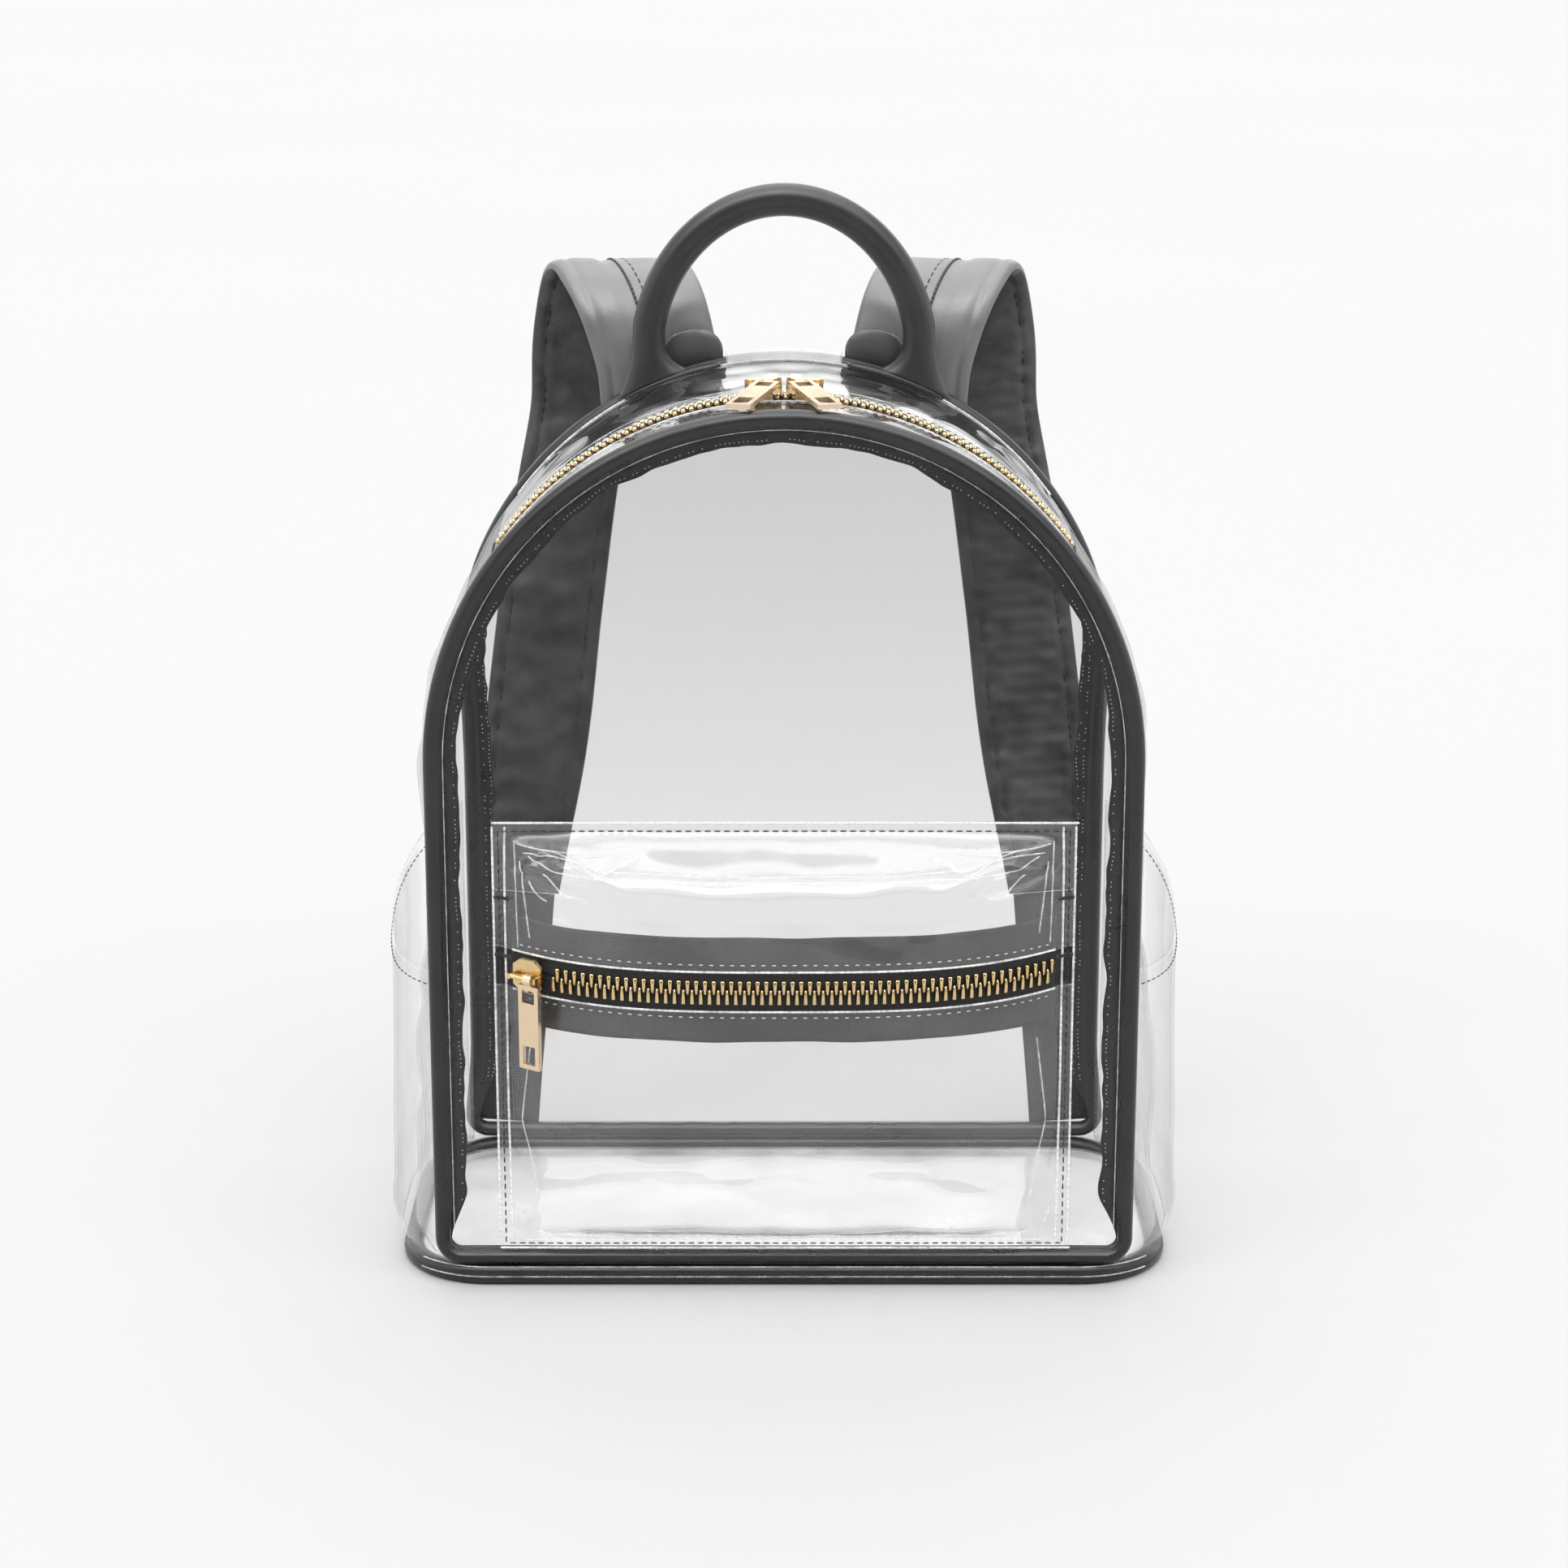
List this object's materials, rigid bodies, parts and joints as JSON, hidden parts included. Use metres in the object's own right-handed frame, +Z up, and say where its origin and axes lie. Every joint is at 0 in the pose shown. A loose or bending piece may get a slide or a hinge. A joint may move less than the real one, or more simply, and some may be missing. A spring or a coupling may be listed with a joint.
{
  "type": "clear stadium backpack",
  "caption": "Small clear PVC backpack with black bindings, metal zips, a front pocket, side pockets, a grab handle and padded shoulder straps.",
  "frame": {"origin": "middle of the underside of the clear floor, on the surface that the bag stands on", "axes": "+X to the right seen from the front, +Y from the front pocket to the shoulder straps, +Z up"},
  "size_m": [0.2744, 0.2084, 0.3618],
  "materials": {
    "clear_pvc": "clear gloss sheet",
    "black_pu": "smooth satin leather-look",
    "black_tape": "matte woven tape",
    "gold_metal": "polished pale gold",
    "black_plastic": "satin black"
  },
  "bodies": {
    "root": {"front_panel": "clear_pvc", "back_panel": "clear_pvc", "front_binding": "black_pu", "back_binding": "black_pu", "base_rim": "black_pu", "base_panel": "clear_pvc", "side_wall_left": "clear_pvc", "side_wall_right": "clear_pvc", "zip_strip_front": "clear_pvc", "zip_strip_rear": "clear_pvc", "main_zip_tape_front": "black_tape", "main_zip_tape_rear": "black_tape", "main_zip_chain": "gold_metal", "main_left_slider": "gold_metal", "main_right_slider": "gold_metal", "pocket_upper": "clear_pvc", "pocket_lower": "clear_pvc", "pocket_tape_upper": "black_tape", "pocket_tape_lower": "black_tape", "pocket_zip_chain": "gold_metal", "pocket_slider": "gold_metal", "side_pocket_left": "clear_pvc", "side_pocket_right": "clear_pvc", "handle_patch_left": "black_pu", "handle_patch_right": "black_pu", "handle": "black_pu", "strap_left": "black_pu", "strap_right": "black_pu", "strap_webbing_left": "black_tape", "strap_webbing_right": "black_tape", "strap_adjuster_left": "black_plastic", "strap_adjuster_right": "black_plastic"},
    "pocket_pull": {"pocket_pull": "gold_metal"},
    "main_left_pull": {"main_left_pull": "gold_metal"},
    "main_right_pull": {"main_right_pull": "gold_metal"}
  },
  "joints": [
    {"name": "pocket_pull_swing", "type": "hinge", "parent": "root", "child": "pocket_pull", "pos_m": [-0.08409, -0.07711, 0.1148], "axis": [-0.8098, 0.5867, 0], "range_deg": [0, 150]},
    {"name": "main_left_pull_swing", "type": "hinge", "parent": "root", "child": "main_left_pull", "pos_m": [-0.00387, -0.032, 0.30684], "axis": [-0.9985, 0, -0.0555], "range_deg": [0, 150]},
    {"name": "main_right_pull_swing", "type": "hinge", "parent": "root", "child": "main_right_pull", "pos_m": [0.00387, -0.032, 0.30684], "axis": [-0.9985, 0, 0.0555], "range_deg": [0, 150]}
  ]
}
